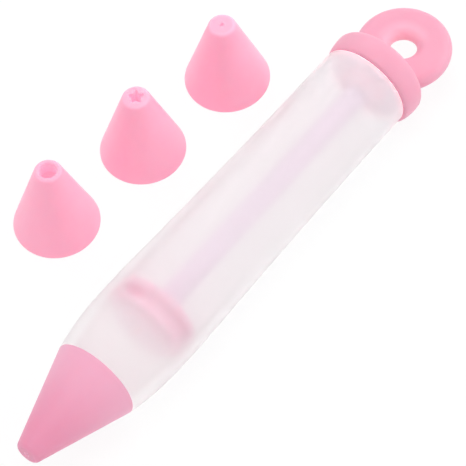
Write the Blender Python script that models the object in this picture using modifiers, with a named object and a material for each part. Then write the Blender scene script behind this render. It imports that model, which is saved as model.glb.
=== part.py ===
"""Cake decorating syringe with a ring-handled plunger, a fitted nozzle and three spare nozzles.

Lengths are in metres, +Z is up, and the syringe lies along X with its ring at +X. Distances called
"behind" or "in front" are measured from the barrel's rear rim: behind is towards the ring.
"""

import math

import bmesh
import bpy

# Barrel, a soft clear tube that swells towards the front and ends in a neck for the nozzle.
barrel_length = 0.1157
barrel_body_radius = 0.0145
barrel_taper = 0.0014
rear_wall = 0.00165
straight_length = 0.0070
shoulder_length = 0.0207
shoulder_fall = 0.0020
rim_fillet = 0.0005
neck_length = 0.0090
neck_wall = 0.0016
neck_clearance = 0.0003
swell_power_share = 2.0
shoulder_power_share = 2.4

# Nozzles. They share one socket, which fits over the neck.
joint_gap = 0.0003
fitted_nozzle_length = 0.0279
fitted_nozzle_wall = 0.0019
fitted_outlet_radius = 0.0006
fitted_tip_lip = 0.0028
spare_nozzle_height = 0.0250
spare_nozzle_wall = 0.00145
spare_tip_lip = 0.0013
round_outlet_radius = 0.00235
fine_outlet_radius = 0.0005
star_outer_radius = 0.0024
star_inner_radius = 0.00115
tip_land = 0.0042
tip_rounding = 0.0009
base_rounding = 0.0004

# Places of the spare nozzles, which stand in a row beside the barrel.
spare_start = 0.0126
spare_spacing = 0.0326
spare_offset = 0.0394
spare_skew = 0.0038

# Piston seal, with a lip at each end, snapped over the rod's head.
piston_rest_gap = 0.0190
seal_length = 0.0078
seal_clearance = 0.0003
lip_width = 0.0020
lip_rounding = 0.0005
groove_depth = 0.0020
seal_front_wall = 0.0022

# Push rod.
rod_radius = 0.00325
rod_clearance = 0.0003
rod_bevel = 0.0004
head_overhang = 0.0018
head_length = 0.0024
rod_tail_reach = 0.0045

# Handle: a collar bead with a short boss in front of it, round the rod, and a flat ring behind it.
collar_overhang = 0.0011
collar_length = 0.0081
collar_gap = 0.0003
collar_front_drop = 0.0011
collar_bulge_length = 0.0042
collar_rear_rounding = 0.0029
boss_length = 0.0040
boss_wall = 0.0025
boss_bevel = 0.0005
ring_inset = 0.0007
ring_hole_radius = 0.0038
ring_thickness = 0.0055
ring_sink = 0.0048
ring_drop = 0.0022

# A cutter runs past the surface that it cuts by this much.
overrun = 0.001
merge_distance = 0.00001

# Angles, in degrees. The star's first point is turned this far from +X.
star_turn_degrees = 38

# Counts.
star_points = 5
barrel_steps = 48
nozzle_steps = 40
rod_steps = 24
ring_steps = 48
swell_points = 7
shoulder_points = 8
bulge_points = 4
corner_points = 3
ring_corner_points = 7

# Colours as (red, green, blue), with each finish's roughness and transmission.
pink_share = (0.96, 0.38, 0.52)
rod_share = (0.84, 0.62, 0.80)
clear_share = (0.93, 0.86, 0.88)
silicone_roughness_share = 0.50
rod_roughness_share = 0.40
clear_roughness_share = 0.45
clear_transmission_share = 0.80

# Sizes that follow from the ones above.
barrel_rear_radius = barrel_body_radius - barrel_taper
bore_radius = barrel_rear_radius - rear_wall
shoulder_radius = barrel_body_radius - shoulder_fall
collar_radius = barrel_rear_radius + collar_overhang
ring_radius = collar_radius - ring_inset
tip_behind = -(barrel_length + joint_gap + fitted_nozzle_length)
nozzle_socket_radius = shoulder_radius - fitted_nozzle_wall
fitted_tip_radius = fitted_outlet_radius + fitted_tip_lip
spare_base_radius = nozzle_socket_radius + spare_nozzle_wall
spare_tip_radius = round_outlet_radius + spare_tip_lip
piston_front = piston_rest_gap - barrel_length
piston_rear = piston_front + seal_length
head_front = piston_front + seal_front_wall + rod_clearance
head_rear = head_front + head_length
collar_front = collar_gap
collar_rear = collar_front + collar_length
ring_centre = collar_rear + ring_radius - ring_sink
ring_rear = ring_centre + ring_radius

# The origin is the middle of the whole set on the surface that it lies on.
pen_radius = max(barrel_body_radius, collar_radius)
spares_edge = spare_offset + 2 * spare_skew + spare_base_radius
rim_x = -(tip_behind + ring_rear) / 2
axis_y = (pen_radius - spares_edge) / 2
axis_z = pen_radius


def clear_scene():
    for obj in list(bpy.data.objects):
        bpy.data.objects.remove(obj, do_unlink=True)


def new_collection(name):
    collection = bpy.data.collections.new(name)
    bpy.context.scene.collection.children.link(collection)
    return collection


def new_material(name, colour, roughness, transmission=0.0):
    material = bpy.data.materials.new(name)
    material.use_nodes = True
    shader = material.node_tree.nodes["Principled BSDF"]
    shader.inputs["Base Color"].default_value = (*colour, 1.0)
    shader.inputs["Roughness"].default_value = roughness
    shader.inputs["Metallic"].default_value = 0.0
    shader.inputs["Transmission Weight"].default_value = transmission
    return material


def give_material(obj, material):
    obj.data.materials.clear()
    obj.data.materials.append(material)


def arc(centre_r, centre_z, half_r, half_z, start, end, points):
    """Points of an ellipse arc from start to end, in degrees from the outward direction."""
    turn = [math.radians(start + (end - start) * i / points) for i in range(points + 1)]
    return [(centre_r + half_r * math.cos(a), centre_z + half_z * math.sin(a)) for a in turn]


def turned(name, outline, steps, collection, closed=True):
    """A solid turned about its own Z axis from an outline of (radius, height) points.

    The outline runs down the outer side. A closed one goes round a bore; an open one starts and
    ends on the axis.
    """
    mesh = bpy.data.meshes.new(name)
    count = len(outline)
    edges = [(i, (i + 1) % count) for i in range(count if closed else count - 1)]
    mesh.from_pydata([(r, 0, z) for r, z in outline], edges, [])
    obj = bpy.data.objects.new(name, mesh)
    collection.objects.link(obj)
    screw = obj.modifiers.new("turn", "SCREW")
    screw.steps = screw.render_steps = steps
    screw.use_smooth_shade = True
    screw.use_merge_vertices = True
    screw.merge_threshold = merge_distance
    return obj


def boolean(obj, other, operation):
    modifier = obj.modifiers.new(operation.lower(), "BOOLEAN")
    modifier.operation = operation
    modifier.object = other
    modifier.solver = "EXACT"


def as_cutter(obj):
    obj.hide_render = True
    obj.display_type = "WIRE"


def on_axis(obj, parent, toward_ring=True):
    """Lays a turned piece on the syringe's axis, its own +Z towards the ring or the tip."""
    obj.parent = parent
    if not toward_ring:
        obj.rotation_euler = (math.pi, 0, 0)


def barrel_outline():
    """Rim, swelling outside, rounded shoulder and neck, then the funnel and the bore."""
    swell_length = barrel_length - shoulder_length - straight_length
    corner = barrel_rear_radius - rim_fillet
    outline = arc(corner, -rim_fillet, rim_fillet, rim_fillet, 90, 0, corner_points)
    for i in range(1, swell_points + 1):
        share = i / swell_points
        radius = barrel_rear_radius + barrel_taper * share**swell_power_share
        outline.append((radius, -rim_fillet - (swell_length - rim_fillet) * share))
    for i in range(shoulder_points + 1):
        share = i / shoulder_points
        radius = barrel_body_radius - shoulder_fall * share**shoulder_power_share
        outline.append((radius, -(swell_length + straight_length) - shoulder_length * share))
    root_radius = nozzle_socket_radius - neck_clearance
    end_radius = socket_radius_at(neck_length - joint_gap) - neck_clearance
    outline += [
        (root_radius, -barrel_length),
        (end_radius, -barrel_length - neck_length),
        (end_radius - neck_wall, -barrel_length - neck_length),
        (root_radius - neck_wall, -barrel_length),
        (bore_radius, piston_front - rod_clearance),
        (bore_radius, 0),
    ]
    return outline


def inner_tip_radius(base_radius, length, tip_radius, wall):
    """The inner cone's radius where it meets the land behind the outlet."""
    slope = (base_radius - tip_radius) / length
    return tip_radius + slope * tip_land - wall


def socket_radius_at(depth):
    """The fitted nozzle's inner radius at a depth from its base."""
    tip = inner_tip_radius(shoulder_radius, fitted_nozzle_length, fitted_tip_radius, fitted_nozzle_wall)
    share = depth / (fitted_nozzle_length - tip_land)
    return nozzle_socket_radius + (tip - nozzle_socket_radius) * share


def nozzle_outline(base_radius, length, tip_radius, wall, outlet_radius):
    """A hollow cone standing on its base: outside down from the outlet, inside up again."""
    inner_tip = inner_tip_radius(base_radius, length, tip_radius, wall)
    rounding = min(tip_rounding, tip_radius - outlet_radius)
    lower = min(base_rounding, wall / 2)
    outline = [(outlet_radius, length)]
    outline += arc(tip_radius - rounding, length - rounding, rounding, rounding, 90, 0, corner_points)
    outline += arc(base_radius - lower, lower, lower, lower, 0, -90, corner_points)
    outline += [
        (base_radius - wall, 0),
        (inner_tip, length - tip_land),
        (outlet_radius, length - tip_land),
    ]
    return outline


def seal_outline():
    """The piston seal from the rod's pocket out to the front: open on the axis at both ends."""
    outer = bore_radius - seal_clearance
    groove = outer - groove_depth
    corner = outer - lip_rounding
    hole = rod_radius + rod_clearance
    pocket = rod_radius + head_overhang + rod_clearance
    outline = [
        (0, head_front - rod_clearance),
        (pocket, head_front - rod_clearance),
        (pocket, head_rear + rod_clearance),
        (hole, head_rear + rod_clearance),
        (hole, piston_rear),
    ]
    outline += arc(corner, piston_rear - lip_rounding, lip_rounding, lip_rounding, 90, 0, corner_points)
    outline += [
        (outer, piston_rear - lip_width),
        (groove, piston_rear - lip_width - groove_depth / 2),
        (groove, piston_front + lip_width + groove_depth / 2),
        (outer, piston_front + lip_width),
    ]
    outline += arc(corner, piston_front + lip_rounding, lip_rounding, lip_rounding, 0, -90, corner_points)
    outline.append((0, piston_front))
    return outline


def rod_outline():
    """The rod from its bevelled tail to its wide head."""
    head_radius = rod_radius + head_overhang
    return [
        (0, rod_tail_reach),
        (rod_radius - rod_bevel, rod_tail_reach),
        (rod_radius, rod_tail_reach - rod_bevel),
        (rod_radius, head_rear),
        (head_radius, head_rear),
        (head_radius, head_front + rod_bevel),
        (head_radius - rod_bevel, head_front),
        (0, head_front),
    ]


def collar_outline():
    """Flat back, rounded rear edge, bulging side, front face and boss."""
    boss_radius = rod_radius + rod_clearance + boss_wall
    rear = collar_rear_rounding
    widest = collar_front + collar_bulge_length
    front_radius = collar_radius - collar_front_drop
    outline = [(0, collar_rear)]
    outline += arc(collar_radius - rear, collar_rear - rear, rear, rear, 90, 0, bulge_points)
    outline += arc(front_radius, widest, collar_front_drop, collar_bulge_length, 0, -90, bulge_points)
    outline += [
        (boss_radius, collar_front),
        (boss_radius, boss_bevel - boss_length),
        (boss_radius - boss_bevel, -boss_length),
        (0, -boss_length),
    ]
    return outline


def ring_outline():
    """The ring's rounded section, run down its outer side and up round its hole."""
    half = ring_thickness / 2
    outline = arc(ring_radius - half, 0, half, half, 90, -90, ring_corner_points)
    outline += arc(ring_hole_radius + half, 0, half, half, -90, -270, ring_corner_points)
    return outline


def make_barrel(parts, axis, material):
    barrel = turned("barrel", barrel_outline(), barrel_steps, parts)
    on_axis(barrel, axis)
    give_material(barrel, material)


def make_fitted_nozzle(parts, axis, material):
    outline = nozzle_outline(
        shoulder_radius, fitted_nozzle_length, fitted_tip_radius, fitted_nozzle_wall, fitted_outlet_radius
    )
    nozzle = turned("nozzle_fitted", outline, nozzle_steps, parts)
    on_axis(nozzle, axis, toward_ring=False)
    nozzle.location = (0, 0, -barrel_length - joint_gap)
    give_material(nozzle, material)


def star_cutter(place, cutters):
    """A star-shaped prism through the tip of a nozzle that stands at a place."""
    low = spare_nozzle_height - tip_land - overrun
    high = spare_nozzle_height + overrun
    mesh = bmesh.new()
    for z in (low, high):
        for i in range(2 * star_points):
            radius = star_inner_radius if i % 2 else star_outer_radius
            turn = math.radians(star_turn_degrees) + math.pi * i / star_points
            mesh.verts.new((radius * math.cos(turn), radius * math.sin(turn), z))
    mesh.verts.ensure_lookup_table()
    count = 2 * star_points
    mesh.faces.new(mesh.verts[i] for i in reversed(range(count)))
    mesh.faces.new(mesh.verts[i] for i in range(count, 2 * count))
    for i in range(count):
        j = (i + 1) % count
        mesh.faces.new((mesh.verts[i], mesh.verts[j], mesh.verts[count + j], mesh.verts[count + i]))
    data = bpy.data.meshes.new("star_cutter")
    mesh.to_mesh(data)
    mesh.free()
    cutter = bpy.data.objects.new("star_cutter", data)
    cutters.objects.link(cutter)
    cutter.location = place
    as_cutter(cutter)
    return cutter


def make_spare_nozzles(parts, cutters, material):
    """Three nozzles standing on their bases, in a row that draws away from the barrel."""
    outlets = {
        "nozzle_fine": fine_outlet_radius,
        "nozzle_star": star_inner_radius / 2,
        "nozzle_round": round_outlet_radius,
    }
    for i, (name, outlet) in enumerate(outlets.items()):
        outline = nozzle_outline(
            spare_base_radius, spare_nozzle_height, spare_tip_radius, spare_nozzle_wall, outlet
        )
        nozzle = turned(name, outline, nozzle_steps, parts)
        nozzle.location = (
            rim_x - spare_start - spare_spacing * i,
            axis_y + spare_offset + spare_skew * i,
            0,
        )
        if name == "nozzle_star":
            boolean(nozzle, star_cutter(nozzle.location, cutters), "DIFFERENCE")
        give_material(nozzle, material)


def make_seal(parts, axis, material):
    seal = turned("piston_seal", seal_outline(), barrel_steps, parts, closed=False)
    on_axis(seal, axis)
    give_material(seal, material)


def make_rod(parts, axis, material):
    rod = turned("push_rod", rod_outline(), rod_steps, parts, closed=False)
    on_axis(rod, axis)
    give_material(rod, material)


def make_handle(parts, cutters, axis, material):
    """Collar and ring joined in one moulding, with a blind socket for the rod."""
    handle = turned("ring_handle", collar_outline(), barrel_steps, parts, closed=False)
    on_axis(handle, axis)

    ring = turned("ring_blank", ring_outline(), ring_steps, cutters)
    ring.parent = axis
    ring.rotation_euler = (0, math.pi / 2, 0)
    ring.location = (ring_drop, 0, ring_centre)
    as_cutter(ring)
    boolean(handle, ring, "UNION")

    socket_end = rod_tail_reach + rod_clearance
    socket_length = socket_end + boss_length + overrun
    bpy.ops.mesh.primitive_cylinder_add(
        vertices=rod_steps, radius=rod_radius + rod_clearance, depth=socket_length
    )
    socket = bpy.context.object
    socket.name = socket.data.name = "socket_cutter"
    for collection in socket.users_collection:
        collection.objects.unlink(socket)
    cutters.objects.link(socket)
    socket.parent = axis
    socket.location = (0, 0, socket_end - socket_length / 2)
    as_cutter(socket)
    boolean(handle, socket, "DIFFERENCE")
    give_material(handle, material)


def main():
    clear_scene()
    parts = new_collection("cake_decorating_syringe")
    cutters = new_collection("cutters")
    pink = new_material("pink_silicone", pink_share, silicone_roughness_share)
    clear = new_material(
        "clear_silicone", clear_share, clear_roughness_share, clear_transmission_share
    )
    rod_pink = new_material("rod_plastic", rod_share, rod_roughness_share)

    axis = bpy.data.objects.new("syringe_axis", None)
    parts.objects.link(axis)
    axis.location = (rim_x, axis_y, axis_z)
    axis.rotation_euler = (0, math.pi / 2, 0)

    make_barrel(parts, axis, clear)
    make_fitted_nozzle(parts, axis, pink)
    make_spare_nozzles(parts, cutters, pink)
    make_seal(parts, axis, pink)
    make_rod(parts, axis, rod_pink)
    make_handle(parts, cutters, axis, pink)


main()
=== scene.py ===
import math

import bpy
import numpy as np
from mathutils import Matrix, Vector


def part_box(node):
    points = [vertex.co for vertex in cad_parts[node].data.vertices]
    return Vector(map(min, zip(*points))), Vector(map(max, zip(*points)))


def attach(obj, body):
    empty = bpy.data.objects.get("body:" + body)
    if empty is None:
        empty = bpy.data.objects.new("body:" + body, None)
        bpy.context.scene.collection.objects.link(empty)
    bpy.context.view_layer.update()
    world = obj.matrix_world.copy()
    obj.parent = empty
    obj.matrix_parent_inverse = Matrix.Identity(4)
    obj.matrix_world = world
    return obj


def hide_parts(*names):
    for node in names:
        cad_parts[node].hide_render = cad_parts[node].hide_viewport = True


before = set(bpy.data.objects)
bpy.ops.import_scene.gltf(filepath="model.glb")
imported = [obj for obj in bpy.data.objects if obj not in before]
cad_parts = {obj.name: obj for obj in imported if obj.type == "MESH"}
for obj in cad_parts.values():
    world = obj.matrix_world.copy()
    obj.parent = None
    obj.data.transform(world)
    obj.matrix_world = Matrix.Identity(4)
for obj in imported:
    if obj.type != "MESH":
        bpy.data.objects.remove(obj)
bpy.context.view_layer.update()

# Metres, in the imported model's frame: X runs along the syringe to its ring, Z is up. Lengths along the
# barrel, the seal, the rod and the handle start at the barrel's rear rim and grow towards the ring.
barrelLow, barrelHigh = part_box("barrel")
nozzleLow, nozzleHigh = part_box("nozzle_fitted")
sealLow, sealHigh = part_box("piston_seal")
rodLow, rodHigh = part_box("push_rod")
handleLow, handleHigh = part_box("ring_handle")
rimX = barrelHigh.x
axisY = (barrelLow.y + barrelHigh.y) / 2
axisZ = (barrelLow.z + barrelHigh.z) / 2
ways = np.eye(3)
penAxis = (np.array([rimX, axisY, axisZ]), *ways)
ringRadius = 0.0135
ringX = handleHigh.x - ringRadius
tiny = 1e-9  # keeps a division from meeting zero
samePlace = 1e-7  # points nearer than this are one point


# Shapes

def softened(corners, arcPoints=7, longest=0.0012, closed=True):
    # Corners are (along, radius, cut). Each corner becomes a quadratic curve from "cut" before it to "cut"
    # after it, (1 - t)^2 a + 2 t (1 - t) corner + t^2 b. Then long straight runs get points in between.
    table = np.array(corners, float)
    points, cuts = table[:, :2], table[:, 2:]
    toNext = np.roll(points, -1, axis=0) - points
    toNext /= np.maximum(np.linalg.norm(toNext, axis=1, keepdims=True), tiny)
    before = points - np.roll(toNext, 1, axis=0) * cuts
    after = points + toNext * cuts
    t = np.linspace(0, 1, arcPoints)[None, :, None]
    curve = (1 - t) ** 2 * before[:, None] + 2 * t * (1 - t) * points[:, None] + t ** 2 * after[:, None]
    curve = curve.reshape(-1, 2)
    ends = np.roll(curve, -1, axis=0) if closed else np.vstack([curve[1:], curve[-1:]])
    gaps = np.linalg.norm(ends - curve, axis=1)
    if not closed:
        gaps[-1] = 1.0  # keeps the last point, with nothing after it
    keep = gaps > samePlace
    curve, ends, gaps = curve[keep], ends[keep], gaps[keep]
    pieces = np.maximum(np.ceil(gaps / longest).astype(int), 1)
    if not closed:
        pieces[-1] = 1
    index = np.repeat(np.arange(len(curve)), pieces)
    step = np.arange(len(index)) - np.repeat(np.cumsum(pieces) - pieces, pieces)
    share = (step / pieces[index])[:, None]
    return curve[index] * (1 - share) + ends[index] * share


def addMesh(name, points, faces):
    # Turns every face round if the closed surface's signed volume is negative.
    mesh = bpy.data.meshes.new(name)
    first, second, third = (points[faces[:, i]] for i in range(3))
    if np.einsum("ij,ij->i", first, np.cross(second, third)).sum() < 0:
        faces = faces[:, ::-1]
    mesh.from_pydata(points.tolist(), [], faces.tolist())
    mesh.shade_smooth()
    obj = bpy.data.objects.new(name, mesh)
    bpy.context.scene.collection.objects.link(obj)
    return obj


def turnedSurface(name, profile, axis, steps=160, closed=True, hole=None, inside=None):
    # Point (v, u) = origin + along(v) * forward + (radius(v) + extra(v, u)) * (cos u * side
    # + sin u * other). hole(u, radius) gives the extra radius. An open profile starts and ends on the
    # axis, at two poles.
    # inside holds a share for each point of a closed profile, which the UV map "inside" takes to the
    # material.
    origin, forward, side, other = axis
    u = np.linspace(0, 2 * np.pi, steps, endpoint=False)
    inner = profile if closed else profile[1:-1]
    radius = np.repeat(inner[:, 1:], steps, axis=1)
    if hole:
        radius = radius + hole(u, inner[:, 1])
    around = np.cos(u)[:, None] * side + np.sin(u)[:, None] * other
    points = origin + inner[:, 0][:, None, None] * forward + radius[:, :, None] * around
    rings = len(inner)
    rows = np.arange(rings if closed else rings - 1)[:, None]
    columns = np.arange(steps)[None, :]
    here, there = rows * steps, (rows + 1) % rings * steps
    after = (columns + 1) % steps
    quads = np.stack([here + columns, here + after, there + after, there + columns], axis=-1).reshape(-1, 4)
    halves = np.vstack([quads[:, [0, 1, 2]], quads[:, [0, 2, 3]]])
    points = points.reshape(-1, 3)
    if not closed:
        poles = origin + profile[[0, -1], :1] * forward
        ring, last = np.arange(steps), (rings - 1) * steps
        following = (ring + 1) % steps
        start = np.stack([np.full(steps, len(points)), following, ring], axis=-1)
        end = np.stack([np.full(steps, len(points) + 1), last + ring, last + following], axis=-1)
        halves = np.vstack([halves, start, end])
        points = np.vstack([points, poles])
    obj = addMesh(name, points, halves)
    if inside is not None:
        corner = np.empty(len(obj.data.loops), dtype=np.int32)
        obj.data.loops.foreach_get("vertex_index", corner)
        places = np.stack([corner % steps / steps, inside[corner // steps]], axis=1)
        obj.data.uv_layers.new(name="inside").uv.foreach_set("vector", places.astype(np.float32).ravel())
    return obj


def settle(obj, body, node, material):
    obj.data.materials.append(material)
    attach(obj, body)
    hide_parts(node)


# Materials

class Signal:
    # One socket of a material. Sums on signals add Math nodes, and make() adds any other node.
    def __init__(self, tree, socket=None):
        self.tree, self.socket = tree, socket

    def make(self, kind, settings=(), inputs=(), output=0):
        node = self.tree.nodes.new(kind)
        for name, value in dict(settings).items():
            setattr(node, name, value)
        for key, value in dict(inputs).items():
            if isinstance(value, Signal):
                self.tree.links.new(value.socket, node.inputs[key])
            else:
                node.inputs[key].default_value = value
        return Signal(self.tree, node.outputs[output])

    def maths(self, operation, *others):
        return self.make("ShaderNodeMath", {"operation": operation}, enumerate((self, *others)))

    def __add__(self, other):
        return self.maths("ADD", other)

    def __mul__(self, other):
        return self.maths("MULTIPLY", other)

    def __sub__(self, other):
        return self.maths("SUBTRACT", other)

    def __rsub__(self, other):
        return self.maths("MULTIPLY", -1) + other

    __radd__ = __add__
    __rmul__ = __mul__

    def part(self, index):
        # One of the three numbers of this vector.
        return self.make("ShaderNodeSeparateXYZ", (), {0: self}, index)

    def mixed(self, low, high):
        # A colour between low and high, by this signal.
        return self.make("ShaderNodeMix", {"data_type": "RGBA"}, {0: self, 6: low, 7: high}, 2)

    def rises(self, low, high):
        # 0 below low, 1 above high, and a soft step in between.
        inputs = {"Value": self, "From Min": low, "From Max": high}
        return self.make("ShaderNodeMapRange", {"interpolation_type": "SMOOTHSTEP"}, inputs)

    def noise(self, size, detail=2.0):
        # Soft noise on this place, with blotches about "size" metres wide.
        inputs = {"Vector": self, "Scale": 1 / size, "Detail": detail}
        return self.make("ShaderNodeTexNoise", (), inputs)


def newSurface(name, fixed):
    material = bpy.data.materials.new(name)
    material.use_nodes = True
    shader = material.node_tree.nodes["Principled BSDF"]
    for socket, value in fixed.items():
        shader.inputs[socket].default_value = value
    place = Signal(material.node_tree).make("ShaderNodeTexCoord", output="Object")
    return material, shader, place


def linkSurface(material, shader, finish, colour, roughness, height, glow=None):
    # finish holds the strength and the depth of the bump that is made of the height.
    inputs = {"Strength": finish["bump"], "Distance": finish["depth"], "Height": height}
    bump = height.make("ShaderNodeBump", (), inputs)
    signals = {"Base Color": colour, "Roughness": roughness, "Normal": bump}
    if glow:
        signals["Emission Color"] = glow
    for name, signal in signals.items():
        material.node_tree.links.new(signal.socket, shader.inputs[name])
    return material


def mixSurface(material, shader, share, other):
    # Shows the other shader by the share, and the material's own for the rest.
    own = Signal(material.node_tree, shader.outputs[0])
    both = own.make("ShaderNodeMixShader", (), {0: share, 1: own, 2: other})
    output = material.node_tree.nodes["Material Output"]
    material.node_tree.links.new(both.socket, output.inputs["Surface"])


def axisPlace(place):
    # A place's X, its Y and Z from the syringe's axis, and how far out from that axis it is.
    x, y, z = (place.part(i) for i in range(3))
    across, above = y - axisY, z - axisZ
    return x, across, above, (across * across + above * above).maths("SQRT")


# The standing, fitted and handle tones are copies of one pink silicone, lighter or darker per part: painted
# light and shade for how the lamps fall on each.
silicone = {
    "standing": {
        "deep": (0.97, 0.424, 0.572, 1),
        "pale": (0.985, 0.453, 0.597, 1),
        # Painted light: a faint red glow on the standing nozzles.
        "glow": (0.07, 0, 0.005, 1),
    },
    "fitted": {
        "deep": (0.80, 0.385, 0.525, 1),
        "pale": (0.83, 0.415, 0.55, 1),
        "glow": (0, 0, 0, 1),
    },
    "handle": {
        "deep": (0.775, 0.347, 0.462, 1),
        "pale": (0.805, 0.376, 0.489, 1),
        "glow": (0, 0, 0, 1),
    },
    "seal": {
        "deep": (0.83, 0.46, 0.61, 1),
        "pale": (0.87, 0.50, 0.64, 1),
        "glow": (0, 0, 0, 1),
    },
    # Painted light, given as emission: inside the nozzles, round their outlets, and on the shaded wall of
    # the ring's hole.
    "inside": (0.16, 0.13, 0.17, 1),
    "outlet": (0.16, 0.175, 0.21, 1),
    "outletEdges": (0.0203, 0.0210),
    "tipEdges": (0.0006, 0.0009),
    "through": (0.20, 0.135, 0.14, 1),
    "paintedHoleLightEdges": {"out": (0.0036, 0.0088), "far": (-0.0020, 0.0035)},
    "farWay": (0.72, 0.69),
    # Painted shade: a deeper pink that darkens the fitted nozzle towards its tip.
    "thick": (0.765, 0.295, 0.43, 1),
    "shadedTipEdges": (nozzleLow.x + 0.004, nozzleHigh.x + 0.002),
    "face": (0.90, 0.64, 0.745, 1),
    "faceEdges": {
        "boss": (0.0062, 0.0070),
        "wall": (0.0112, 0.0118),
        "front": (rimX + 0.0003, rimX + 0.0006),
    },
    "bossShare": 0.6,
    "core": (0.81, 0.20, 0.43, 1),
    "coreEdges": {
        "out": (0.0097, 0.0109),
        "front": (sealLow.x + 0.0004, sealLow.x + 0.0012),
        "side": (-0.001, 0.006),
    },
    "front": (0.95, 0.80, 0.87, 1),
    "frontEdges": {
        "out": (0.0104, 0.0111),
        "front": (sealLow.x + 0.0001, sealLow.x + 0.0004),
        "upper": (-0.0030, 0.0085),
    },
    "upperWay": (0.91, 0.41),
    "blotch": 0.009,
    "skin": 0.00035,
    "skinDetail": 3.0,
    "ringPitch": 0.0013,
    "ringWander": 1.5,
    "roughness": 0.46,
    "roughnessVaries": {"blotch": 0.10, "skin": 0.08},
    "heights": {"skin": 0.6, "ring": 0.12},
    "bump": 0.25,
    "depth": 0.00004,
    "fixed": {
        "IOR": 1.36,
        "Subsurface Weight": 0.6,
        "Subsurface Radius": (1.0, 0.5, 0.6),
        "Subsurface Scale": 0.0004,
        "Emission Color": (0, 0, 0, 1),
        "Emission Strength": 1.0,
    },
}


def insideNozzle(place):
    # 1 on the inside of a nozzle, 0 on its outside.
    return place.make("ShaderNodeUVMap", {"uv_map": "inside"}).part(1)


def insideOutlet(place):
    # 1 on the inside of a standing nozzle round its outlet, where painted light stands in for the wall lit
    # through its tip.
    return insideNozzle(place) * place.part(2).rises(*silicone["outletEdges"])


def insideTip(place):
    # 1 on the wall of the fitted nozzle's outlet, 0 round its lip; painted light brightens the outlet
    # there.
    _, _, _, out = axisPlace(place)
    return 1 - out.rises(*silicone["tipEdges"])


def besideHole(place):
    # 1 on the wall of the ring's hole that is turned from the lamps, falling to 0 round it; painted light
    # lifts the shade there.
    x, across, _, _ = axisPlace(place)
    edges, along = silicone["paintedHoleLightEdges"], x - ringX
    near = 1 - (along * along + across * across).maths("SQRT").rises(*edges["out"])
    wayX, wayY = silicone["farWay"]
    return near * (along * wayX + across * wayY).rises(*edges["far"])


def shadedTip(place):
    # 1 at the fitted nozzle's tip, falling to 0 at its base; a deeper pink there paints shade towards the
    # tip.
    return 1 - place.part(0).rises(*silicone["shadedTipEdges"])


def insideBore(place):
    # 1 on the collar's front face where it closes the bore, less on the boss there, and 0 outside.
    x, _, _, out = axisPlace(place)
    edges, share = silicone["faceEdges"], silicone["bossShare"]
    within = (1 - out.rises(*edges["wall"])) * (1 - x.rises(*edges["front"]))
    return within * (share + out.rises(*edges["boss"]) * (1 - share))


def inGroove(place):
    # 1 down in one side of the seal's groove, 0 on its lips and its front.
    x, across, _, out = axisPlace(place)
    edges = silicone["coreEdges"]
    return x.rises(*edges["front"]) * across.rises(*edges["side"]) * (1 - out.rises(*edges["out"]))


def onSealFront(place):
    # 1 low on the seal's front face, falling softly to 0 at its top and on its lips.
    x, across, above, out = axisPlace(place)
    edges = silicone["frontEdges"]
    wayUp, wayAcross = silicone["upperWay"]
    upper = (above * wayUp - across * wayAcross).rises(*edges["upper"])
    return (1 - x.rises(*edges["front"])) * (1 - out.rises(*edges["out"])) * (1 - upper)


def makeSilicone(name, axis, tone, patches=(), lights=()):
    # Satin moulded silicone: soft blotches of colour, a fine skin, and faint rings left by the turned
    # mould. Its glow is painted light, standing in for light that comes through it. Patches and lights are
    # (where, colour's name).
    material, shader, place = newSurface(name, silicone["fixed"])
    blotches = place.noise(silicone["blotch"])
    skin = place.noise(silicone["skin"], silicone["skinDetail"])
    along = place.part(axis)
    wander = place.noise(silicone["blotch"] / 2) * (silicone["ringPitch"] * silicone["ringWander"])
    rings = ((along + wander) * (2 * math.pi / silicone["ringPitch"])).maths("SINE")
    colour = blotches.mixed(silicone[tone]["deep"], silicone[tone]["pale"])
    # Patches paint colour by place; the fitted nozzle's tip patch is painted shade.
    for where, other in patches:
        colour = where(place).mixed(colour, silicone[other])
    # Painted light, given as emission colour by place.
    glow = silicone[tone]["glow"]
    for where, other in lights:
        glow = where(place).mixed(glow, silicone[other])
    varies, heights = silicone["roughnessVaries"], silicone["heights"]
    roughness = silicone["roughness"] + (blotches - 0.5) * varies["blotch"] + (skin - 0.5) * varies["skin"]
    height = skin * heights["skin"] + rings * heights["ring"]
    return linkSurface(material, shader, silicone, colour, roughness, height, glow if lights else None)


clearSkin = {
    "deep": (0.96, 0.945, 0.947, 1),
    "pale": (0.975, 0.962, 0.964, 1),
    "milk": (0.98, 0.97, 0.97, 1),
    "milkShare": 0.30,
    "bore": (0.0118, 0.0126),
    "rim": (rimX - 0.0009, rimX - 0.0004),
    # Painted light: a pink glow at the barrel's rim and a fainter cool glow before it.
    "paintedRimGlow": (0.28, 0.14, 0.16, 1),
    "end": (rimX - 0.018, rimX - 0.001),
    "paintedEndGlow": (0, 0.028, 0.026, 1),
    "blotch": 0.016,
    "frost": 0.00022,
    "frostDetail": 3.0,
    "roughness": 0.40,
    "roughnessVaries": {"blotch": 0.08, "frost": 0.06},
    "bump": 0.3,
    "depth": 0.00003,
    "fixed": {
        "IOR": 1.12,
        "Transmission Weight": 0.80,
        "Sheen Weight": 0.80,
        "Sheen Roughness": 0.4,
        "Emission Strength": 1.0,
    },
}


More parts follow.
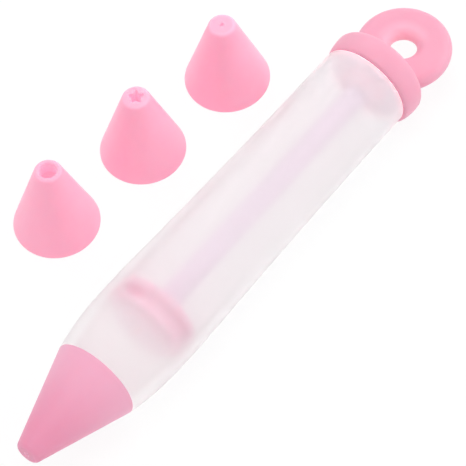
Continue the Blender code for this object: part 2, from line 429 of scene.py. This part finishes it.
def makeClearSkin():
    # Frosted clear silicone: most light goes through and spreads, the rest shines back milky. The bore's
    # own wall spreads it widest, so that what touches it is seen best. A painted glow at the rim stands in
    # for light that runs along in the wall and comes out there, and a fainter, cooler painted glow lies
    # before the rim.
    material, shader, place = newSurface("frostedSilicone", clearSkin["fixed"])
    blotches = place.noise(clearSkin["blotch"])
    frost = place.noise(clearSkin["frost"], clearSkin["frostDetail"])
    colour = blotches.mixed(clearSkin["deep"], clearSkin["pale"])
    varies = clearSkin["roughnessVaries"]
    roughness = clearSkin["roughness"] + (blotches - 0.5) * varies["blotch"]
    roughness = roughness + (frost - 0.5) * varies["frost"]
    x, _, _, out = axisPlace(place)
    glow = x.rises(*clearSkin["end"]).mixed((0, 0, 0, 1), clearSkin["paintedEndGlow"])
    glow = x.rises(*clearSkin["rim"]).mixed(glow, clearSkin["paintedRimGlow"])
    linkSurface(material, shader, clearSkin, colour, roughness, frost, glow)
    milk = place.make("ShaderNodeBsdfTranslucent", (), {"Color": clearSkin["milk"]})
    mixSurface(material, shader, (1 - out.rises(*clearSkin["bore"])) * clearSkin["milkShare"], milk)
    return material


rodFinish = {
    "deep": (0.70, 0.53, 0.69, 1),
    "pale": (0.76, 0.60, 0.75, 1),
    "streak": 0.004,
    "drawn": (0.12, 1, 1),
    "roughness": 0.38,
    "roughnessVaries": 0.12,
    "bump": 0.2,
    "depth": 0.00003,
    "fixed": {"IOR": 1.46},
}


def makeRodFinish():
    # Moulded plastic with faint streaks drawn out along the rod.
    material, shader, place = newSurface("rodPlastic", rodFinish["fixed"])
    inputs = {"Vector": place, "Scale": rodFinish["drawn"]}
    streaks = place.make("ShaderNodeMapping", {"vector_type": "POINT"}, inputs).noise(rodFinish["streak"])
    colour = streaks.mixed(rodFinish["deep"], rodFinish["pale"])
    roughness = rodFinish["roughness"] + (streaks - 0.5) * rodFinish["roughnessVaries"]
    return linkSurface(material, shader, rodFinish, colour, roughness, streaks)


# Painted light: emission inside the nozzles, at their outlets and on the ring's hole wall.
standingPaintedLight = [(insideNozzle, "inside"), (insideOutlet, "outlet")]
fittedPaintedLight = [(insideNozzle, "inside"), (insideTip, "outlet")]
handlePaintedLight = [(besideHole, "through")]
pinkStanding = makeSilicone("pinkSiliconeStanding", 2, "standing", lights=standingPaintedLight)
pinkFitted = makeSilicone("pinkSiliconeFitted", 0, "fitted", [(shadedTip, "thick")], fittedPaintedLight)
pinkSeal = makeSilicone("pinkSiliconeSeal", 0, "seal", [(inGroove, "core"), (onSealFront, "front")])
pinkHandle = makeSilicone("pinkSiliconeHandle", 0, "handle", [(insideBore, "face")], handlePaintedLight)
frosted = makeClearSkin()
rodPlastic = makeRodFinish()
print("materials ready")


# Barrel

barrel = {
    "rearRadius": 0.0131,
    "bodyRadius": 0.0145,
    "straight": 0.0070,
    "shoulder": 0.0207,
    "shoulderRadius": 0.0125,
    "shoulderPower": 2.4,
    "bore": 0.01145,
    "rimFillet": 0.0006,
    "rimInnerFillet": 0.0004,
    "shoulderFillet": 0.0001,
    "rootFillet": 0.0002,
    "neckFillet": 0.0003,
    "boreFillet": 0.0006,
    "shoulderGap": 0.0003,
    "neckRoot": 0.0103,
    "neckEnd": 0.00845,
    "neckWall": 0.0016,
    "funnelGap": 0.0003,
    "curvePoints": 60,
    "steps": 192,
}


def makeBarrel():
    # The outer radius swells with the square of the distance, runs straight, then falls over the shoulder.
    neckX = nozzleHigh.x + barrel["shoulderGap"] - rimX
    endX = barrelLow.x - rimX
    swellEnd = neckX + barrel["shoulder"] + barrel["straight"]
    share = np.linspace(0, 1, barrel["curvePoints"])
    body, shoulder, neckWall = barrel["bodyRadius"], barrel["shoulderRadius"], barrel["neckWall"]
    swell = barrel["rearRadius"] + (body - barrel["rearRadius"]) * share ** 2
    fall = body - (body - shoulder) * share ** barrel["shoulderPower"]
    back = swellEnd * share
    front = neckX + barrel["shoulder"] * (1 - share)
    outer = np.concatenate([np.stack([back, swell], axis=1)[1:], np.stack([front, fall], axis=1)[:-1]])
    outer = np.column_stack([outer, np.zeros(len(outer))])
    corners = [
        (0, barrel["rearRadius"], barrel["rimFillet"]),
        *outer[1:],
        (neckX, shoulder, barrel["shoulderFillet"]),
        (neckX, barrel["neckRoot"], barrel["rootFillet"]),
        (endX, barrel["neckEnd"], barrel["neckFillet"]),
        (endX, barrel["neckEnd"] - neckWall, barrel["neckFillet"]),
        (neckX, barrel["neckRoot"] - neckWall, barrel["boreFillet"]),
        (sealLow.x - rimX - barrel["funnelGap"], barrel["bore"], barrel["boreFillet"]),
        (0, barrel["bore"], barrel["rimInnerFillet"]),
    ]
    return turnedSurface("barrelSkin", softened(corners), penAxis, barrel["steps"])


settle(makeBarrel(), "barrel", "barrel", frosted)
print("barrel ready")


# Nozzles

nozzle = {
    "land": 0.0042,
    "tipRounding": 0.0012,
    "lipRounding": 0.0005,
    "innerBaseRounding": 0.0003,
    "innerTipRounding": 0.0005,
    "innerLipRounding": 0.0002,
    "tipShare": 0.6,
    "lipShare": 0.5,
    "flatShare": 0.7,
    "longest": 0.0008,
    "fitted": {
        "wall": 0.0019,
        "tip": 0.0034,
        "outlet": 0.0006,
        "baseRounding": 0.0001,
        "reach": 0.0002,
        "steps": 160,
    },
    "spare": {"wall": 0.00145, "tip": 0.00365, "baseRounding": 0.0004, "reach": 0, "steps": 200},
    "round": 0.00235,
    "fine": 0.0005,
    "star": {"outer": 0.0024, "inner": 0.00115, "points": 5, "turn": 38, "softness": 4, "edge": 0.0003},
}
starMiddle = (nozzle["star"]["outer"] + nozzle["star"]["inner"]) / 2


def nozzleProfile(size, length, baseRadius, outlet):
    # From the outlet's lip out over the tip, down the cone to the base and up the inside. The share for the
    # map "inside" is 0 on the outer skin and 1 inside, and rises over the first part of the outlet's wall.
    land, tipRadius, wall = nozzle["land"], size["tip"], size["wall"]
    innerTip = tipRadius + (baseRadius - tipRadius) * land / length - wall
    lip = min(nozzle["lipRounding"], outlet * nozzle["lipShare"])
    tip = min(nozzle["tipRounding"], (tipRadius - outlet) * nozzle["tipShare"])
    corners = [
        (length, outlet, lip),
        (length, tipRadius, tip),
        (-size["reach"], baseRadius, size["baseRounding"]),
        (-size["reach"], baseRadius - wall, nozzle["innerBaseRounding"]),
        (length - land, innerTip, nozzle["innerTipRounding"]),
        (length - land, outlet, nozzle["innerLipRounding"]),
    ]
    profile = softened(corners, longest=nozzle["longest"])
    skin = baseRadius + (tipRadius - baseRadius) * profile[:, 0] / length
    depth = np.minimum((skin - profile[:, 1]) / wall, (length - profile[:, 0]) / (lip * 2))
    return profile, np.clip(depth, 0, 1)


def starExtra(u, radius):
    # Between a point and a notch the edge is straight: r = R n sin(s) / (R sin(a) + n sin(s - a)), where
    # a is the angle from the point, s the angle from point to notch, and R and n are their radii. The ring
    # of radii is then softened, and the star fades out over the tip's flat top.
    star = nozzle["star"]
    span = math.pi / star["points"]
    a = np.abs((u - math.radians(star["turn"]) + span) % (2 * span) - span)
    across = star["outer"] * np.sin(a) + star["inner"] * np.sin(span - a)
    edge = star["outer"] * star["inner"] * math.sin(span) / across
    reach = star["softness"] * 2
    weights = np.exp(-0.5 * (np.arange(-reach, reach + 1) / star["softness"]) ** 2)
    edge = np.convolve(np.pad(edge, reach, mode="wrap"), weights / weights.sum(), mode="valid")
    flatEnd = nozzle["spare"]["tip"] - nozzle["tipRounding"] * nozzle["flatShare"]
    fade = np.clip((flatEnd - radius) / (flatEnd - starMiddle - star["edge"]), 0, 1)
    return fade[:, None] * (edge - starMiddle)[None, :]


def makeSpareNozzle(name, node, body, outlet, hole=None):
    low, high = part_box(node)
    centre = (low + high) / 2
    axis = (np.array([centre.x, centre.y, low.z]), ways[2], ways[0], ways[1])
    size = nozzle["spare"]
    profile, inside = nozzleProfile(size, high.z - low.z, (high.x - low.x) / 2, outlet)
    cone = turnedSurface(name, profile, axis, size["steps"], hole=hole, inside=inside)
    settle(cone, body, node, pinkStanding)


def makeFittedNozzle():
    size = nozzle["fitted"]
    axis = (np.array([nozzleHigh.x, axisY, axisZ]), -ways[0], ways[1], ways[2])
    length, radius = nozzleHigh.x - nozzleLow.x, (nozzleHigh.z - nozzleLow.z) / 2
    profile, inside = nozzleProfile(size, length, radius, size["outlet"])
    cone = turnedSurface("fittedNozzle", profile, axis, size["steps"], inside=inside)
    settle(cone, "fitted_nozzle", "nozzle_fitted", pinkFitted)


makeFittedNozzle()
makeSpareNozzle("fineNozzle", "nozzle_fine", "fine_nozzle", nozzle["fine"])
makeSpareNozzle("starNozzle", "nozzle_star", "star_nozzle", starMiddle, starExtra)
makeSpareNozzle("roundNozzle", "nozzle_round", "round_nozzle", nozzle["round"])
print("nozzles ready")


# Seal and rod

seal = {
    "outer": 0.01115,
    "lip": 0.0020,
    "groove": 0.0020,
    "hole": 0.00355,
    "pocket": 0.00535,
    "gap": 0.0003,
    "rounding": 0.0006,
    "pocketRounding": 0.0002,
    "holeRounding": 0.0003,
    "longest": 0.0008,
    "steps": 160,
}
rod = {
    "radius": 0.00325,
    "head": 0.00505,
    "headLength": 0.0024,
    "bevel": 0.0005,
    "headRounding": 0.0003,
    "neckRounding": 0.0004,
    "steps": 96,
}


def makeSeal():
    front, rear = sealLow.x - rimX, sealHigh.x - rimX
    headFront = rodLow.x - rimX - seal["gap"]
    headRear = rodLow.x - rimX + rod["headLength"] + seal["gap"]
    lip, groove, outer, soft = seal["lip"], seal["groove"], seal["outer"], seal["rounding"]
    corners = [
        (headFront, 0, 0),
        (headFront, seal["pocket"], seal["pocketRounding"]),
        (headRear, seal["pocket"], seal["pocketRounding"]),
        (headRear, seal["hole"], seal["pocketRounding"]),
        (rear, seal["hole"], seal["holeRounding"]),
        (rear, outer, soft),
        (rear - lip, outer, soft),
        (rear - lip - groove / 2, outer - groove, soft),
        (front + lip + groove / 2, outer - groove, soft),
        (front + lip, outer, soft),
        (front, outer, soft),
        (front, 0, 0),
    ]
    profile = softened(corners, longest=seal["longest"], closed=False)
    return turnedSurface("pistonSeal", profile, penAxis, seal["steps"], closed=False)


def makeRod():
    head, tail = rodLow.x - rimX, rodHigh.x - rimX
    headRear = head + rod["headLength"]
    corners = [
        (tail, 0, 0),
        (tail, rod["radius"], rod["bevel"]),
        (headRear, rod["radius"], rod["neckRounding"]),
        (headRear, rod["head"], rod["headRounding"]),
        (head, rod["head"], rod["bevel"]),
        (head, 0, 0),
    ]
    return turnedSurface("pushRod", softened(corners, closed=False), penAxis, rod["steps"], closed=False)


settle(makeSeal(), "piston", "piston_seal", pinkSeal)
settle(makeRod(), "plunger", "push_rod", rodPlastic)
print("seal and rod ready")


# Handle

handle = {
    "collarRadius": 0.0142,
    "collarFront": 0.0001,
    "collarRear": 0.0080,
    "collarShift": (-0.00027, -0.00012),
    "frontDrop": 0.0011,
    "bulge": 0.0044,
    "rearRounding": 0.0029,
    "bossRadius": 0.00605,
    "bossLength": 0.0040,
    "bossRounding": 0.0007,
    "bossBack": 0.0030,
    "ringHole": 0.0038,
    "ringThickness": 0.0055,
    "ringDrop": 0.0022,
    "fillet": 0.0010,
    "curvePoints": 24,
    "ringPoints": 32,
    "blankSteps": 96,
    "voxel": 0.00036,
    "passes": 4,
    "probe": 0.00002,
    "flattest": 0.05,
}


def collarProfile():
    # Flat back, quarter circle, quarter ellipse and flat front, as (along, radius) points.
    t = np.linspace(0, np.pi / 2, handle["curvePoints"])
    rear = handle["rearRounding"]
    widest = handle["collarFront"] + handle["bulge"]
    back = np.stack([handle["collarRear"] - rear + rear * np.cos(t),
                     handle["collarRadius"] - rear + rear * np.sin(t)], axis=1)
    front = np.stack([widest - handle["bulge"] * np.sin(t),
                      handle["collarRadius"] - handle["frontDrop"] * (1 - np.cos(t))], axis=1)
    return np.vstack([[(handle["collarRear"], 0)], back, front, [(handle["collarFront"], 0)]])


def insideOutline(profile, along, radius):
    # Distance to a closed outline in the (along, radius) plane, below zero inside. The outline is mirrored
    # in the axis, so that its straight closing side on the axis isn't a wall.
    outline = np.vstack([profile, profile[::-1] * (1, -1)])
    nearest = np.full(along.shape, np.inf)
    sign = np.ones(along.shape)
    ends = np.roll(outline, -1, axis=0)
    for (ax, ay), (bx, by) in zip(outline, ends):
        ex, ey = bx - ax, by - ay
        length = ex * ex + ey * ey
        if length < samePlace ** 2:
            continue
        wx, wy = along - ax, radius - ay
        t = np.clip((wx * ex + wy * ey) / length, 0, 1)
        nearest = np.minimum(nearest, (wx - t * ex) ** 2 + (wy - t * ey) ** 2)
        crosses = (ay > radius) != (by > radius)
        left = wx * ey < wy * ex if ey > 0 else wx * ey > wy * ex
        sign = np.where(crosses & left, -sign, sign)
    return sign * np.sqrt(nearest)


def blended(a, b, width):
    # Smooth minimum: min(a, b) - h^2 * width / 4, where h = max(width - |a - b|, 0) / width.
    h = np.maximum(width - np.abs(a - b), 0) / width
    return np.minimum(a, b) - h * h * width / 4


def handleField(points):
    # Below zero inside the collar, the boss or the ring, which flow together over the fillet's width. The
    # soft collar sits a little off the axis.
    along = points[:, 0] - rimX
    across, above = points[:, 1] - axisY, points[:, 2] - axisZ
    radius = np.hypot(across, above)
    shiftY, shiftZ = handle["collarShift"]
    collar = insideOutline(collarProfile(), along, np.hypot(across - shiftY, above - shiftZ))
    soft = handle["bossRounding"]
    middle = (handle["bossBack"] - handle["bossLength"]) / 2
    half = (handle["bossBack"] + handle["bossLength"]) / 2
    over = np.stack([np.abs(along - middle) - half + soft, radius - handle["bossRadius"] + soft])
    boss = np.linalg.norm(np.maximum(over, 0), axis=0) + np.minimum(over.max(axis=0), 0) - soft
    thick = handle["ringThickness"] / 2
    out = np.hypot(points[:, 0] - ringX, across)
    inRing = np.clip(out, handle["ringHole"] + thick, ringRadius - thick)
    ring = np.hypot(out - inRing, above + handle["ringDrop"]) - thick
    return blended(blended(collar, ring, handle["fillet"]), boss, handle["fillet"] / 2)


def makeHandle():
    # A voxel skin of collar, boss and ring, whose points are then pulled onto the blended surface by
    # Newton's steps: point - field * gradient / |gradient|^2.
    thick, steps = handle["ringThickness"] / 2, handle["blankSteps"]
    t = np.linspace(0, 2 * np.pi, handle["ringPoints"], endpoint=False)
    section = np.stack([thick * np.sin(t), thick * np.cos(t)], axis=1)
    section[:, 1] += np.where(np.cos(t) > 0, ringRadius - thick, handle["ringHole"] + thick)
    ringAxis = (np.array([ringX, axisY, axisZ - handle["ringDrop"]]), ways[2], ways[0], ways[1])
    back, front, wide = handle["bossBack"], -handle["bossLength"], handle["bossRadius"]
    boss = np.array([(back, 0), (back, wide), (front, wide), (front, 0)])
    blanks = [
        turnedSurface("ringHandle", section, ringAxis, steps),
        turnedSurface("collarBlank", collarProfile(), penAxis, steps, closed=False),
        turnedSurface("bossBlank", boss, penAxis, steps, closed=False),
    ]
    body = blanks[0]
    with bpy.context.temp_override(active_object=body, selected_editable_objects=blanks):
        bpy.ops.object.join()
    remesh = body.modifiers.new("skin", "REMESH")
    remesh.mode = "VOXEL"
    remesh.voxel_size = handle["voxel"]
    graph = bpy.context.evaluated_depsgraph_get()
    skin = bpy.data.meshes.new_from_object(body.evaluated_get(graph))
    body.modifiers.clear()
    body.data = skin
    points = np.empty(len(skin.vertices) * 3)
    skin.vertices.foreach_get("co", points)
    points = points.reshape(-1, 3)
    probe = handle["probe"]
    for _ in range(handle["passes"]):
        value = handleField(points)
        gradient = np.stack([(handleField(points + probe * way) - value) / probe for way in ways], axis=1)
        length = np.maximum((gradient ** 2).sum(axis=1), handle["flattest"])
        points = points - (value / length)[:, None] * gradient
    skin.vertices.foreach_set("co", points.ravel())
    skin.update()
    skin.shade_smooth()
    return body


settle(makeHandle(), "plunger", "ring_handle", pinkHandle)
print("handle ready")


# Studio

view = {
    "lens": 278.1,
    "sensor": 36.0,
    "elevation": 56.8,
    "turn": 46.33,
    "roll": 6.2,
    "distance": 0.9768,
    "farEnd": 10,
    "target": Vector((0.00443, -0.01638, 0)),
}
studio = {
    "world": 0.78,
    "floorSize": 3.0,
    "floorColour": (0.96, 0.96, 0.96, 1),
    "floorRoughness": 0.9,
    "floorWhite": 0.88,
    "bounces": 24,
    "lamps": {
        "overLamp": {"right": 0.0, "forward": 0.0, "height": 0.90, "size": 0.5, "power": 2.2},
        "rightLamp": {"right": 0.85, "forward": 0.10, "height": 0.45, "size": 0.5, "power": 2.5},
        "backLamp": {"right": -0.20, "forward": 0.60, "height": 0.60, "size": 0.5, "power": 1.0},
    },
}


def makeCamera():
    # Looks along "forward", tilted down by the elevation, then rolled about its own line of sight.
    turn, down, roll = (math.radians(view[k]) for k in ("turn", "elevation", "roll"))
    forward = Vector((math.sin(turn), math.cos(turn), 0))
    right = Vector((math.cos(turn), -math.sin(turn), 0))
    look = forward * math.cos(down) - Vector((0, 0, 1)) * math.sin(down)
    up = forward * math.sin(down) + Vector((0, 0, 1)) * math.cos(down)
    rolledRight = right * math.cos(roll) - up * math.sin(roll)
    rolledUp = up * math.cos(roll) + right * math.sin(roll)
    camera = bpy.data.objects.new("camera", bpy.data.cameras.new("camera"))
    camera.data.lens = view["lens"]
    camera.data.sensor_width = view["sensor"]
    camera.data.clip_end = view["farEnd"]
    turnTo = Matrix((rolledRight, rolledUp, -look)).transposed().to_4x4()
    camera.matrix_world = Matrix.Translation(view["target"] - look * view["distance"]) @ turnTo
    bpy.context.scene.collection.objects.link(camera)
    bpy.context.scene.camera = camera
    return forward, right


def makeLamps(forward, right):
    target = view["target"]
    for name, lamp in studio["lamps"].items():
        light = bpy.data.lights.new(name, "AREA")
        light.shape = "DISK"
        light.size = lamp["size"]
        light.energy = lamp["power"]
        obj = bpy.data.objects.new(name, light)
        level = right * lamp["right"] + forward * lamp["forward"]
        obj.location = target + level + Vector((0, 0, lamp["height"]))
        obj.rotation_euler = (target - obj.location).to_track_quat("-Z", "Y").to_euler()
        bpy.context.scene.collection.objects.link(obj)


def seenDirectly(start):
    # 1 for what the camera sees, also in a reflection or through the barrel, and 0 for the light that
    # objects get.
    kinds = ("Is Camera Ray", "Is Glossy Ray", "Is Transmission Ray")
    camera, glossy, through = (start.make("ShaderNodeLightPath", output=kind) for kind in kinds)
    return camera.maths("MAXIMUM", glossy.maths("MAXIMUM", through))


def makeFloor():
    half = studio["floorSize"] / 2
    mesh = bpy.data.meshes.new("floor")
    corners = [(-half, -half, 0), (half, -half, 0), (half, half, 0), (-half, half, 0)]
    mesh.from_pydata(corners, [], [(0, 1, 2, 3)])
    floor = bpy.data.objects.new("floor", mesh)
    bpy.context.scene.collection.objects.link(floor)
    fixed = {
        "Base Color": studio["floorColour"],
        "Roughness": studio["floorRoughness"],
        "Specular IOR Level": 0.0,
    }
    material, shader, start = newSurface("paleFloor", fixed)
    white = start.make("ShaderNodeEmission", (), {"Color": (1, 1, 1, 1), "Strength": 1.0})
    mixSurface(material, shader, seenDirectly(start) * studio["floorWhite"], white)
    floor.data.materials.append(material)


def makeWorld():
    world = bpy.data.worlds.new("studio")
    world.use_nodes = True
    bpy.context.scene.world = world
    background = world.node_tree.nodes["Background"]
    strength = studio["world"] + seenDirectly(Signal(world.node_tree)) * (1 - studio["world"])
    background.inputs["Color"].default_value = (1, 1, 1, 1)
    world.node_tree.links.new(strength.socket, background.inputs["Strength"])


def makeBounces():
    # Light that is caught between the faces of the frosted wall needs many turns to come out again.
    for kind in ("max_bounces", "diffuse_bounces", "glossy_bounces", "transmission_bounces"):
        setattr(bpy.context.scene.cycles, kind, studio["bounces"])


forward, right = makeCamera()
makeLamps(forward, right)
makeFloor()
makeWorld()
makeBounces()
bpy.context.scene.view_settings.view_transform = "Standard"
print("studio ready")
